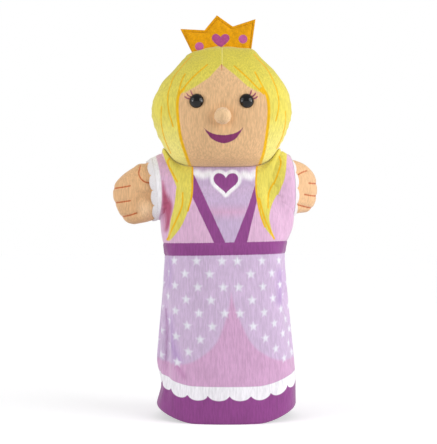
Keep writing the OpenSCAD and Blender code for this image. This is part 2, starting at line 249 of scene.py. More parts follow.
def outward(p, wrap=True):
    """Outward normals of a grid of points whose columns go round and whose rows go up."""
    if wrap:
        across = np.roll(p, -1, axis=1) - np.roll(p, 1, axis=1)
    else:
        across = np.gradient(p, axis=1)
    n = np.cross(across, np.gradient(p, axis=0))
    return n / np.maximum(np.linalg.norm(n, axis=-1, keepdims=True), 1e-9)


def pushed(p, amount, wrap=True):
    """Points moved along their grid's outward normals."""
    return p + amount[..., None] * outward(p, wrap)


def hump(d, width):
    return np.exp(-((d / width) ** 2))


def step_up(v, low, high):
    u = np.clip((v - low) / (high - low), 0, 1)
    return u * u * (3 - 2 * u)


def grid_faces(rows, cols, wrap, flip):
    index = np.arange(rows * cols).reshape(rows, cols)
    left = index if wrap else index[:, :-1]
    right = np.roll(index, -1, axis=1) if wrap else index[:, 1:]
    quads = np.stack([left[:-1], right[:-1], right[1:], left[1:]], -1).reshape(-1, 4)
    return quads[:, ::-1] if flip else quads


def mesh_object(name, verts, faces, inks=None):
    """A smooth-shaded object from millimetre points, with one float attribute for each ink."""
    mesh = bpy.data.meshes.new(name)
    mesh.from_pydata((np.asarray(verts) * MM).tolist(), [], [list(map(int, f)) for f in faces])
    for ink, values in (inks or {}).items():
        layer = mesh.attributes.new(ink, "FLOAT", "POINT")
        layer.data.foreach_set("value", np.asarray(values, np.float32).ravel())
    mesh.polygons.foreach_set("use_smooth", np.ones(len(mesh.polygons), bool))
    return put(name, mesh)


def grid_object(name, p, wrap=True, flip=False, inks=None, keep=None, cap=False):
    rows, cols = p.shape[:2]
    faces = grid_faces(rows, cols, wrap, flip)
    if keep is not None:
        faces = faces[keep.ravel()[faces].any(axis=1)]
    faces = faces.tolist()
    if cap:
        last_row = list(range((rows - 1) * cols, rows * cols))
        faces.append(last_row[::-1] if flip else last_row)
    return mesh_object(name, p.reshape(-1, 3), faces, inks)


def thicken(obj, amount=CLOTH):
    """Drops loose points and gives cloth its thickness, inward, with the second material on the inside."""
    work = bmesh.new()
    work.from_mesh(obj.data)
    bmesh.ops.delete(work, geom=[v for v in work.verts if not v.link_faces], context="VERTS")
    work.to_mesh(obj.data)
    work.free()
    solid = obj.modifiers.new("cloth", "SOLIDIFY")
    solid.thickness = amount * MM
    solid.offset = -1
    solid.material_offset = 1
    solid.material_offset_rim = 0
    graph = bpy.context.evaluated_depsgraph_get()
    mesh = bpy.data.meshes.new_from_object(obj.evaluated_get(graph), depsgraph=graph)
    obj.modifiers.clear()
    obj.data = mesh
    mesh.set_sharp_from_angle(angle=np.radians(50))


def part_of(obj, name, cuts):
    """A copy of an object cut at planes, each a place in millimetres and the way out, and closed there."""
    work = bmesh.new()
    work.from_mesh(obj.data)
    for place, way in cuts:
        every = work.verts[:] + work.edges[:] + work.faces[:]
        bmesh.ops.bisect_plane(
            work, geom=every, dist=1e-7, plane_co=np.array(place) * MM, plane_no=way, clear_outer=True
        )
    rim = [edge for edge in work.edges if edge.is_boundary]
    for face in bmesh.ops.holes_fill(work, edges=rim, sides=0)["faces"]:
        for edge in face.edges:
            edge.smooth = False
    mesh = obj.data.copy()
    work.to_mesh(mesh)
    work.free()
    return put(name, mesh)


def bend(obj, slope):
    """Bakes a piece's placement into its mesh; the slope, a share per millimetre, is not used."""
    slope = np.array(slope) / MM
    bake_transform(obj)


# Distances to printed shapes, in millimetres
FAR = 8.0
CURVE_STEPS = 6


def curve(points, closed=False):
    """A smooth line through a few points."""
    p = np.array(points, float)
    if closed:
        p = np.vstack([p[-1], p, p[:2]])
    else:
        p = np.vstack([2 * p[0] - p[1], p, 2 * p[-1] - p[-2]])
    made = []
    for a, b, c, d in zip(p, p[1:], p[2:], p[3:]):
        for u in np.arange(CURVE_STEPS) / CURVE_STEPS:
            bow = (2 * a - 5 * b + 4 * c - d) * u * u + (3 * b - a - 3 * c + d) * u**3
            made.append(0.5 * (2 * b + (c - a) * u + bow))
    if not closed:
        made.append(p[-2])
    return np.array(made)


def to_line(q, line):
    """Distance from points to a line of straight pieces."""
    found = np.full(len(q), FAR)
    near = np.all((q > line.min(0) - FAR) & (q < line.max(0) + FAR), axis=1)
    part = q[near]
    best = np.full(len(part), FAR)
    for a, b in zip(line, line[1:]):
        way = b - a
        u = np.clip((part - a) @ way / max(way @ way, 1e-9), 0, 1)
        best = np.minimum(best, np.linalg.norm(part - a - u[:, None] * way, axis=1))
    found[near] = best
    return found


def to_lines(q, lines):
    return np.minimum.reduce([to_line(q, np.asarray(line, float)) for line in lines])


def to_curves(q, lines):
    return to_lines(q, [curve(line) for line in lines])


def to_region(q, edge):
    """Signed distance to a closed outline, negative inside."""
    ring = np.array([*edge, edge[0]], float)
    inside = np.zeros(len(q), bool)
    for (ax, ay), (bx, by) in zip(ring, ring[1:]):
        if ay != by:
            crossed = (ay > q[:, 1]) != (by > q[:, 1])
            inside ^= crossed & (q[:, 0] < ax + (q[:, 1] - ay) * (bx - ax) / (by - ay))
    d = to_line(q, ring)
    return np.where(inside, -d, d)


def heart(x, z, width, height):
    """Outline of a heart about its middle."""
    a = np.linspace(0, 2 * np.pi, 48, endpoint=False)
    across = np.sin(a) * np.abs(np.sin(a)) ** 1.5
    up = (13 * np.cos(a) - 5 * np.cos(2 * a) - 2 * np.cos(3 * a) - np.cos(4 * a)) / 16 + 0.15
    return np.stack([x + across * width / 2, z + up * height / 1.8], -1)


STAR_WAIST = 0.47


def star(x, z, size):
    """Signed distance to an upright five-pointed star at the origin."""
    fifth = 2 * np.pi / 5
    a = np.abs((np.arctan2(z, x) - np.pi / 2 + fifth / 2) % fifth - fifth / 2)
    r = np.hypot(x, z)
    inner = size * STAR_WAIST
    bx, by = inner * np.cos(fifth / 2), inner * np.sin(fifth / 2)
    length = np.hypot(bx - size, by)
    return ((r * np.cos(a) - size) * by + r * np.sin(a) * (size - bx)) / length


# Where the camera's middle lies in the printed outlines
PRINT_X = -3.44


def front_plane(p):
    """Where points are seen from the camera, on the plane y = 0."""
    near = 1 - p[..., 1] / EYE_Y
    seen = together(PRINT_X + (p[..., 0] - EYE_X) / near, EYE_Z + (p[..., 2] - EYE_Z) / near)
    return seen.reshape(-1, 2)


def front_only(p, inks):
    """Distances to printed shapes, put out of reach for points at the back."""
    at_back = p[..., 1].ravel() > 0
    return {ink: np.where(at_back, FAR, d) for ink, d in inks.items()}


# Materials
def linear(rgb):
    c = np.array(rgb, float) / 255
    return (*np.where(c <= 0.04045, c / 12.92, ((c + 0.055) / 1.055) ** 2.4), 1.0)


class Nodes:
    """Adds nodes to a material or a world and joins them."""

    def __init__(self, owner):
        owner.use_nodes = True
        self.owner = owner
        self.tree = owner.node_tree
        self.shader = self.tree.nodes.get("Principled BSDF")

    def feed(self, node, feeds):
        """Joins outputs to a node's sockets, or sets the sockets to constants."""
        for key, value in feeds.items():
            if isinstance(value, bpy.types.NodeSocket):
                self.tree.links.new(value, node.inputs[key])
            else:
                node.inputs[key].default_value = value
        return node

    def add(self, kind, feeds=None, **settings):
        node = self.tree.nodes.new("ShaderNode" + kind)
        for key, value in settings.items():
            setattr(node, key, value)
        return self.feed(node, feeds or {})

    def noise(self, scale, detail=2.0, rough=0.5):
        """Noise over the object's own place, with a scale along each axis, per metre."""
        place = self.add("TexCoord").outputs["Object"]
        mapped = self.add("Mapping", {"Scale": scale, "Vector": place}).outputs[0]
        feeds = {"Scale": 1.0, "Detail": detail, "Roughness": rough, "Vector": mapped}
        return self.add("TexNoise", feeds).outputs["Fac"]

    def span(self, source, low, high, to_low, to_high):
        feeds = {"Value": source, "From Min": low, "From Max": high, "To Min": to_low, "To Max": to_high}
        return self.add("MapRange", feeds, interpolation_type="SMOOTHSTEP").outputs["Result"]

    def spread(self, source, to_low, to_high):
        """Noise, most of which lies between 0.3 and 0.7, spread over a range."""
        return self.span(source, 0.3, 0.7, to_low, to_high)

    def math(self, kind, a, b):
        return self.add("Math", {0: a, 1: b}, operation=kind).outputs[0]

    def mix(self, share, a, b):
        return self.add("Mix", {0: share, 6: a, 7: b}, data_type="RGBA").outputs[2]

    def mix_shaders(self, share, a, b):
        return self.add("MixShader", {0: share, 1: a.outputs[0], 2: b.outputs[0]})


# Scales of the pile along each axis: combed down, and even
NAP = (900, 900, 120)
FELTED = (700, 700, 700)
# How far the pile pushes the edges of the prints about
EDGE_WANDER = 0.5


def velour(name, base, inks=(), nap=NAP, fade=0.10, sheen=0.4):
    """Short-pile cloth with inks: each is an attribute's name, a colour and the softness of its edge."""
    n = Nodes(bpy.data.materials.new(name))
    pile = n.noise(nap, 3.0, 0.6)
    blotch = n.noise((45, 45, 30), 2.0)
    grain = n.noise((2600, 2600, 2600), 1.0)
    wander = n.math("MULTIPLY", n.math("SUBTRACT", pile, 0.5), EDGE_WANDER)
    colour = linear(base)
    for ink, rgb, soft in inks:
        far = n.add("Attribute", attribute_name=ink).outputs["Fac"]
        share = n.span(n.math("ADD", far, wander), -soft, soft, 1.0, 0.0)
        colour = n.mix(share, colour, linear(rgb))
    light = n.math("ADD", n.spread(pile, 1 - fade, 1 + fade), n.spread(blotch, -0.03, 0.03))
    height = n.math("ADD", pile, n.math("MULTIPLY", grain, 0.4))
    bump = n.add("Bump", {"Strength": 0.35, "Distance": 0.0005, "Height": height})
    n.feed(n.shader, {
        "Base Color": n.add("HueSaturation", {"Value": light, "Color": colour}).outputs[0],
        "Normal": bump.outputs[0],
        "Roughness": n.spread(pile, 0.85, 0.98),
        "Specular IOR Level": 0.2,
        "Sheen Weight": sheen,
        "Sheen Roughness": 0.45,
    })
    return n.owner


def plastic(name, base, rough, gloss=0.5):
    n = Nodes(bpy.data.materials.new(name))
    mottle = n.noise((300, 300, 300), 2.0)
    toned = n.add("HueSaturation", {"Color": linear(base), "Value": n.spread(mottle, 0.9, 1.1)})
    n.feed(n.shader, {
        "Base Color": toned.outputs[0],
        "Roughness": n.spread(mottle, rough * 0.8, rough * 1.2),
        "Specular IOR Level": gloss,
    })
    return n.owner


def set_materials(obj, *materials):
    """Gives an object its materials, and keeps which face has which."""
    obj.data.materials.clear()
    for material in materials:
        obj.data.materials.append(material)


# Colours
PINK = (220, 179, 209)
LILAC = (205, 182, 212)
PURPLE = (143, 70, 137)
SKIN = (226, 184, 138)
HAIR = (223, 209, 92)
HAIR_LINE = (234, 180, 16)
WHITE = (242, 240, 245)
# Painted shade of the fold between the bodice and the left sleeve
FOLD_SHADE = (178, 88, 120)
backing = velour("cloth_back", (226, 214, 226), nap=FELTED, fade=0.05)

# Printed shapes on the dress, and outlines of painted shade in its folds, on the front plane
LEFT_LOCK = [
    (-53.5, 231), (-51, 224.5), (-49.4, 219.6), (-41.3, 199.4), (-41.3, 193.3), (-43.4, 177.5),
    (-47.7, 150.3), (-36.9, 160.3), (-29.7, 175.7), (-26.2, 190.4), (-25.6, 214.2), (-32.2, 223.3),
    (-44, 236),
]
RIGHT_LOCK = [
    (29.8, 216.2), (28.8, 202.4), (29.3, 190.4), (32.2, 174), (36.5, 162), (45.1, 151.1), (42.1, 160.3),
    (40.3, 170.6), (42.6, 179.2), (48.2, 190.4), (53.5, 204.1), (55.2, 219.6), (53.8, 228), (42, 228),
]
LOCK_LINES = [
    [(-45.5, 221.3), (-46.9, 216.4), (-39.4, 201.5)],
    [(-34.4, 191.7), (-35, 179.4), (-41.8, 163.4), (-48, 151.1)],
    [(-25.8, 214), (-26.2, 190.4), (-29.7, 175.7)],
    [(48.8, 222.6), (50.1, 216.4), (45.8, 202.9), (40.9, 191.7), (39.6, 178.3)],
    [(31.6, 186.9), (35.9, 170.8), (44.5, 151.7)],
    RIGHT_LOCK[:5],
]
LEFT_STRAP = [(-27.9, 212), (-23.6, 205), (2.1, 149.4), (2.1, 146), (-6.2, 146), (-27.3, 190.6)]
RIGHT_STRAP = [(30.5, 205.8), (30.5, 188.9), (20.4, 146), (9.6, 146), (10.1, 149), (21.9, 179.2)]
BETWEEN_STRAPS = [
    (-27.9, 217), (-27.9, 205), (0, 146), (11.6, 146), (23.6, 185.2), (30.5, 205.8), (30.5, 217),
]
# Outline of the painted shade in the fold between the bodice and the left sleeve
ARM_FOLD_SHADE = [
    (-51.7, 201), (-48.8, 193.2), (-45.2, 183), (-44.6, 174), (-46.4, 165), (-49.6, 158), (-51.4, 168),
    (-52.2, 182),
]
# Painted shade in the skirt's fold valleys
SKIRT_SHADES = [
    [(-46.6, 134), (-47, 112)], [(-46, 84), (-43.6, 67), (-40, 50)], [(-43.6, 62), (-37.5, 47)],
    [(50.3, 123), (49.6, 98)],
]
# Painted shade along a pleat at the hem, and a thin line of painted shade in a crease
PLEAT_SHADES = [[(-39, 43), (-33, 33)]]
CREASE_SHADES = [[(-50.4, 92), (-50.8, 70), (-51.3, 40)]]
LACE_BLOTS = [[(-22.5, 208.5), (-17, 206.5), (-11, 208)], [(18.5, 207), (24, 205.5), (28, 208)]]
# Straight lines of print and of painted shade in the folds, and their half widths
DRESS_LINES = {
    "ink_lace": (LACE_BLOTS, 3.2),
    "ink_shade": (SKIRT_SHADES, 1.8),
    "ink_crease_shade": (CREASE_SHADES, 0.1),
    "ink_pleat_shade": (PLEAT_SHADES, 0.5),
}
BELT_LOW, BELT_TOP = 138.7, 149.3
BELT_SLANT = 0.018
BAND_TOP = 31.0
# Scallops of the hem's band: length, shift round, height of their tops, depth
SCALLOP = 17.7
SCALLOP_SHIFT = 5.9
SCALLOP_TOP = 24.4
SCALLOP_DEEP = 4.9
# Heart at the neck: middle, width, height, and the white rim round it
HEART = (2.9, 199.6, 21.4, 17.6)
HEART_RIM = 3.0
BLUSH_Z, BLUSH_HALF = 174.5, 2.5
LOCK_LINE = 0.75
# Middle of the skirt's print in front: its place at the hem, and how far it leans with height
PRINT_MIDDLE = 13.49135
PRINT_LEAN = 0.0511628
# Pink panels of the skirt: distance round from the middle and height of the edge, and of the rest
PANEL_EDGE = [
    (0, 108), (1.2, 101), (2.8, 94), (6.8, 83), (11.8, 71.2), (15.7, 65.3), (20.4, 60.5), (30.2, 53.4),
    (39, 49.2), (46, 46.9), (56, 45), (70, 43.3), (95, 42),
]
PANEL_REST = [(110, 42), (110, 20), (-10, 20), (-10, 108)]
STAR_TOP, STAR_ROW, STAR_GAP = 133.9, 10.75, 21.3
STAR_FIRST = (6.3, 17.0)
STAR_SIZE = 4.0
STAR_CLEAR = 1.5
STAR_LAST_ROW = 9
# Share of the cloth that the fold at the right takes up, and where the fold starts
TAKEN_UP = 0.2
FOLD_FROM = 26
# The armhole fold's painted shade, as an ink
FOLD_SHADE_INK = ("ink_fold_shade", FOLD_SHADE, 2.4)
LOCK_INKS = [("ink_lock", HAIR, 0.4), ("ink_lock_line", HAIR_LINE, 0.35)]
# Inks of the dress; the fold, shade, crease and pleat inks are painted shade, the rest are print
DRESS_INKS = [
    ("ink_between", (198, 175, 207), 0.5),
    ("ink_blush", (214, 166, 198), 7.0),
    ("ink_lace", WHITE, 2.6),
    ("ink_halo", WHITE, 1.0),
    ("ink_heart", PURPLE, 0.35),
    ("ink_strap", PURPLE, 0.4),
    FOLD_SHADE_INK,
    ("ink_skirt", LILAC, 0.4),
    ("ink_shade", (181, 148, 200), 5.0),
    ("ink_crease_shade", (166, 112, 164), 0.9),
    ("ink_panel", (208, 164, 200), 1.5),
    ("ink_pleat_shade", (190, 128, 178), 4.5),
    ("ink_star", (230, 228, 238), 1.1),
    ("ink_hem", PURPLE, 0.4),
    ("ink_band", WHITE, 0.4),
    ("ink_belt", PURPLE, 0.4),
    *LOCK_INKS,
]


def lock_inks(p):
    """Signed distances to the printed locks of hair and to their lines."""
    q = front_plane(p)
    locks = [to_region(q, curve(lock, closed=True)) for lock in (LEFT_LOCK, RIGHT_LOCK)]
    lines = to_curves(q, LOCK_LINES) - LOCK_LINE
    return front_only(p, {"ink_lock": np.minimum(*locks), "ink_lock_line": lines})


def dress_inks(p, s, z):
    """Signed distances to each printed shape and each patch of painted fold shade, at distances s round from
    the middle and cloth heights z.
    """
    q = front_plane(p)
    at_back = p[..., 1].ravel() > 0
    s = s.ravel()
    z = z.ravel()
    middle = np.where(at_back, 0, PRINT_MIDDLE - PRINT_LEAN * z - at_height(z, LEAN))
    round_by = s - middle
    taken = TAKEN_UP * np.where(at_back, 0, np.maximum(round_by - FOLD_FROM, 0))
    round_by = np.abs(round_by + taken)
    front = {
        "ink_between": to_region(q, BETWEEN_STRAPS),
        "ink_heart": to_region(q, heart(*HEART)),
        "ink_strap": np.minimum(to_region(q, LEFT_STRAP), to_region(q, RIGHT_STRAP)),
        "ink_fold_shade": to_region(q, curve(ARM_FOLD_SHADE, closed=True)),
    }
    front.update({ink: to_lines(q, lines) - half for ink, (lines, half) in DRESS_LINES.items()})
    front["ink_blush"] = np.maximum(front["ink_between"], np.abs(z - BLUSH_Z) - BLUSH_HALF)
    front["ink_halo"] = front["ink_heart"] - HEART_RIM
    inks = {**front_only(p, front), **lock_inks(p)}
    edge = curve(PANEL_EDGE)
    inks["ink_panel"] = to_region(np.stack([round_by, z], -1), np.vstack([edge, PANEL_REST]))
    row = np.clip(np.round((STAR_TOP - z) / STAR_ROW), 0, STAR_LAST_ROW)
    first = np.where(row % 2 == 0, STAR_FIRST[0], STAR_FIRST[1])
    place = first + STAR_GAP * np.maximum(np.round((round_by - first) / STAR_GAP), 0)
    height = STAR_TOP - STAR_ROW * row
    stars = star(round_by - place, z - height, STAR_SIZE)
    free = height > np.interp(place, edge[:, 0], edge[:, 1]) + STAR_CLEAR
    inks["ink_star"] = np.where(free, stars, FAR)
    level = z - BELT_SLANT * p[..., 0].ravel()
    inks["ink_skirt"] = level - (BELT_LOW + 1)
    inks["ink_hem"] = z - BAND_TOP
    w = ((s - middle + SCALLOP_SHIFT) / SCALLOP) % 1 - 0.5
    low = SCALLOP_TOP - SCALLOP_DEEP * np.sqrt(np.maximum(1 - (2 * w) ** 2, 0))
    inks["ink_band"] = np.maximum(z - BAND_TOP, low - z)
    inks["ink_belt"] = np.maximum(level - BELT_TOP, BELT_LOW - level)
    return inks


# Soft folds of the dress: distance round, height, half width, half height, depth
FRONT_FOLDS = [
    (-55, 62, 5, 34, 5.2), (-45, 57, 5, 28, -1.4), (-68, 66, 2.4, 34, 4), (60, 104, 5, 30, 3.8),
    (68, 66, 4, 28, 2.4), (-82, 29, 9, 7, 2.6), (-58, 122, 5, 16, 2.4), (-50, 172, 3, 18, 2.6),
    (50, 172, 3, 16, 1.6), (-24, 34, 9, 20, 0.9), (30, 60, 10, 40, 0.9), (-5, 90, 14, 40, -0.6),
]
BACK_FOLDS = [
    (-48, 70, 6, 40, 2), (-20, 50, 8, 35, 1.2), (12, 80, 7, 40, 1.4), (45, 60, 6, 36, 2.2),
    (60, 110, 5, 30, 1.4), (-58, 115, 5, 26, 1.6), (0, 170, 12, 22, 1), (-34, 168, 7, 20, 1.2),
    (33, 172, 7, 18, 1),
]


def folded(s, z, folds):
    moved = np.zeros_like(z)
    for place, height, wide, tall, depth in folds:
        moved -= depth * hump(s - place, wide) * hump(z - height, tall)
    return moved


def ripple(s, z):
    """Small unevenness of hand-stuffed cloth."""
    slow = np.sin(s / 9 + 1.3 * np.sin(z / 17)) * np.sin(z / 13 + 0.8)
    quick = np.sin(s / 4.1 + z / 15 + 2) * np.sin(z / 6.3 - s / 21)
    return 0.28 * slow + 0.12 * quick


STEP = 1.0
# Dents of the dress under the sleeves, at the seams and at the belt's edges
VALLEY_DENT = 2.6
SIDE_DENT = 1.1
HEM_DENT = 0.8
BELT_DENT = 0.35
# Width of the calm cloth round an armhole, and how far from the middle the armholes lie
ARMHOLE_RIM = 5
ARMHOLE_FROM = 30
dress_cloth = velour("dress_velour", PINK, DRESS_INKS, sheen=0.6)


def dress_panel(name, node, start, folds):
    t = stations(dress_at, 0, NECKLINE, STEP)
    turn = turns(dress_at, 1.0, start, start + np.pi, STEP)
    p = dress_at(t, turn)
    x, y, z = np.moveaxis(p, -1, 0)
    run = run_length(p, axis=1)
    s = run - run[:, [run.shape[1] // 2]]
    to_side = np.minimum(run, run[:, -1:] - run)
    height = z - hem_rise(t, turn)
    level = height - BELT_SLANT * x
    moved = folded(s, height, folds) + ripple(s, height)
    calm = step_up(height, 0, 14) * (1 - step_up(height, 185, 196)) * step_up(to_side, 0, 9)
    rim_d, rim_h = ARMHOLE_D + ARMHOLE_RIM, ARMHOLE_H + ARMHOLE_RIM
    near_arm = np.hypot(y / rim_d, (z - ARM_Z) / rim_h)
    calm = calm * step_up(near_arm, 1.0, 1.35)
    moved = moved * calm
    valley = hump(near_arm - 1.02, 0.22) * step_up(np.abs(y), 7, 14) * (1 - step_up(t, 5.0, 5.9))
    moved -= VALLEY_DENT * valley * step_up(np.abs(x), ARMHOLE_FROM, 38)
    moved -= SIDE_DENT * hump(to_side, 1.5) * (1 - step_up(height, 160, 170))
    moved -= BELT_DENT * (hump(level - BELT_TOP, 1.0) + hump(level - BELT_LOW, 1.0))
    belt = step_up(level, BELT_LOW, BELT_LOW + 2) * (1 - step_up(level, BELT_TOP - 2, BELT_TOP))
    moved += BELT_DENT * belt
    moved -= HEM_DENT * hump(height, 1.0)
    inks = dress_inks(swayed(p, turn), s, height)
    p = swayed(pushed(p, moved, False), turn)
    deep = np.abs(p[..., 1]) / (ARMHOLE_OPEN * ARMHOLE_D)
    tall = np.abs(p[..., 2] - ARM_Z) / (ARMHOLE_OPEN * ARMHOLE_H)
    share = deep**ROUNDNESS + tall**ROUNDNESS
    share = np.where(np.abs(p[..., 0]) > ARMHOLE_FROM, share, FAR)
    grow = np.where(share < 1, np.maximum(share, 1e-6) ** (-1 / ROUNDNESS), 1)
    middle = np.array([0, 0, ARM_Z])
    cut = middle + (p - middle) * together(1.0, grow, grow)
    close = (share > 0.80)[..., None]
    obj = grid_object(name, np.where(close, cut, p), wrap=False, inks=inks, keep=share >= 1)
    set_materials(obj, dress_cloth, backing)
    thicken(obj)
    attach(obj, "torso")
    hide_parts(node)
    return obj


dress_front = dress_panel("dress_front_panel", "dress_front", np.pi, FRONT_FOLDS)
dress_back = dress_panel("dress_back_panel", "dress_back", 0.0, BACK_FOLDS)


# Yoke of the dress under the chin: half width of its middle, and the slopes with height and at the shoulders
# that are passed to bend
YOKE_MIDDLE = 24
YOKE_RISE = 1 / 13
YOKE_HOLD = 0.088


def make_yoke():
    t = stations(dress_at, NECKLINE, 9, 0.7)
    turn = turns(dress_at, NECKLINE, -np.pi / 2, FRONT, STEP)[:, :-1]
    p = swayed(dress_at(t, turn), turn)
    obj = grid_object("neck_yoke_cloth", p, inks=dress_inks(p, p[..., 0], p[..., 2]))
    set_materials(obj, dress_cloth, backing)
    thicken(obj)
    edges = [((side * YOKE_MIDDLE, 0, 0), (side, 0, 0)) for side in (-1, 1)]
    made = [part_of(obj, "neck_yoke_middle", edges)]
    bend(made[0], (0, 0, YOKE_RISE))
    for side, label in LABEL.items():
        made.append(part_of(obj, "neck_yoke_" + label, [((side * YOKE_MIDDLE, 0, 0), (-side, 0, 0))]))
        bend(made[-1], (-side * YOKE_HOLD, 0, YOKE_RISE))
    bpy.data.objects.remove(obj)
    for piece in made:
        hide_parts("neck_yoke")
    return made


yoke, *yoke_sides = make_yoke()


# Cloth turned up inside the hem
def make_hem():
    t = np.linspace(0, 1, 24)[:, None]
    turn = turns(dress_at, 1.0, 0, ROUND, 1.5)[:, :-1]
    p = dress_at(t, turn)
    out = outward(p)
    inner = swayed(p - (CLOTH + 0.3) * out, turn)
    inner += 0.25 * np.sin(turn * 60)[..., None] * out * hump(t - 0.9, 0.12)[..., None]
    obj = grid_object("hem_turned_up", inner)
    set_materials(obj, velour("hem_velour", PURPLE), backing)
    thicken(obj, THIN_CLOTH)
    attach(obj, "torso")
    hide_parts("hem_facing")
    return obj


hem = make_hem()

# Printed shapes of the face and hair, on the front plane
FACE_LEFT = [
    (-31.9, 278.1), (-37.7, 275.5), (-38.9, 264.8), (-37.7, 250), (-35.2, 235.9), (-28.6, 216.3),
    (-20, 205),
]
FACE_RIGHT = [
    (22, 205), (32.2, 216.3), (35.9, 227.8), (38.4, 244.5), (39.6, 256.6), (39.6, 268.1), (37.6, 276.4),
    (30.5, 278.3),
]
BANGS = [
    (30.5, 278.3), (21.1, 283.5), (10.5, 293.1), (-1, 302.2), (-11.6, 290.5), (-23.6, 282.6),
    (-31.9, 278.1),
]
HAIRLINES = [
    [(-33.5, 281), *FACE_LEFT[1:-1], (-25, 208)],
    [(29, 208), *FACE_RIGHT[1:-1], (33.5, 281)],
]
STRANDS = [
    [(-13, 301.8), (-23.6, 292.7), (-31.9, 283.8), (-36.8, 276.4)],
    [(-32.3, 294.1), (-36, 286.2), (-38.1, 277.2)],
    [(-27.1, 310.5), (-38.5, 297.9), (-45.1, 285.4), (-47.1, 274.6), (-46.3, 261.7), (-42.6, 248.4)],
    [(-52.5, 265.7), (-52.9, 252.5), (-50, 238.5), (-44.6, 225.4)],
    [(10.1, 300.6), (20, 292), (28.1, 283.8), (35.5, 276.4)],
    [(27.8, 295.3), (32.2, 287), (37.6, 277.2)],
    [(27.3, 309.3), (38, 298.5), (45.4, 283.8), (48.3, 271.5), (47.9, 261.7), (45.8, 253.3)],
    [(54.1, 261.7), (54.4, 252.5), (51.6, 240.2), (46.4, 229.5)],
]
BACK_STRANDS = [
    [(24 * k, 304 - 3 * tip), (42 * k, 287), (53 * k, 262), (50 * k, 242), (41 * k, 222 + 4 * tip)]
    for k, tip in ((-0.86, 2), (-0.62, 0), (-0.38, 3), (-0.13, 1), (0.12, 3), (0.37, 0), (0.6, 2), (0.85, 1))
]
MOUTH_TOP = [
    (-17, 248.4), (-13.2, 245), (-7.6, 242.3), (1, 241.1), (9.5, 242.4), (14.8, 245), (18.2, 248.2),
]
MOUTH_LOW = [
    (18.2, 248.2), (15.2, 243), (10.6, 237.4), (1.3, 234), (-8.2, 237.2), (-13.4, 243), (-17, 248.4),
]
LASHES = [
    [(-28, 272.2), (-30.4, 272.7), (-32.4, 274.1)], [(-27.4, 274), (-29.4, 275.1), (-30.8, 277)],
    [(-25.8, 275.6), (-26.7, 277.2), (-27.1, 279.1)], [(25.6, 272.2), (28, 272.7), (29.9, 274.1)],
    [(25, 274), (27, 275.1), (28.3, 277)], [(23.4, 275.6), (24.3, 277.2), (24.7, 279.1)],
]
DART = [(-0.3, 316), (-0.3, 302)]
TACK = [(-0.8, 302.2), (-0.5, 297)]
HEAD_INKS = [
    ("ink_top", (213, 199, 68), 24),
    ("ink_low", (236, 225, 128), 18),
    ("ink_face", SKIN, 0.6),
    ("ink_strand", HAIR_LINE, 0.35),
    ("ink_hairline", HAIR_LINE, 0.5),
    ("ink_mouth", (130, 54, 102), 0.35),
    ("ink_lash", (146, 58, 100), 0.3),
    ("ink_dart", (246, 236, 140), 0.4),
    ("ink_tack", (196, 108, 70), 0.35),
]
# Heights at which the hair's darker top and lighter foot begin
HAIR_TOP, HAIR_LOW = 292, 243
# Curved prints of the face and their half widths
FACE_LINES = {
    "ink_hairline": (HAIRLINES, 1.25),
    "ink_lash": (LASHES, 0.6),
    "ink_dart": ([DART], 0.3),
    "ink_tack": ([TACK], 0.35),
}
STRANDS_FROM_SEAM = 6


def head_inks(p):
    q = front_plane(p)
    at_back = p[..., 1].ravel() > 0
    face = np.vstack([curve(FACE_LEFT), curve(FACE_RIGHT), BANGS])
    mouth = np.vstack([curve(MOUTH_TOP)[:-1], curve(MOUTH_LOW)[:-1]])
    facing = np.maximum(np.abs(outward(p)[..., 1].ravel()), 0.6)
    front = {ink: to_curves(q, lines) - half for ink, (lines, half) in FACE_LINES.items()}
    inks = front_only(p, {**front, "ink_face": to_region(q, face), "ink_mouth": to_region(q, mouth)})
    before = to_curves(q, STRANDS) - LOCK_LINE * facing
    behind = to_curves(p[..., [0, 2]].reshape(-1, 2), BACK_STRANDS) - LOCK_LINE
    strands = np.where(at_back, behind, before)
    inks["ink_strand"] = np.where(np.abs(p[..., 1].ravel()) < STRANDS_FROM_SEAM, FAR, strands)
    inks["ink_top"] = HAIR_TOP - p[..., 2].ravel()
    inks["ink_low"] = p[..., 2].ravel() - HAIR_LOW
    return inks


EYE_SPOT = (20.5, 265.0)
NOSE_Z = 252.4
# Dents and rises of the head's cloth
HEAD_SEAM = 0.9
DART_DENT = 0.35
NOSE_DENT = 0.5
PUCKER = 0.3
EYE_RIM = 0.45
# Flatter upper left of the head: height, half height, depth
FLATTER = [(297, 11, 3), (279, 6, 1.8)]
# Uneven top of the head beside the crown: place, half width, rise
UNEVEN = [(27, 7, 1.8), (-21, 8, -1.2)]


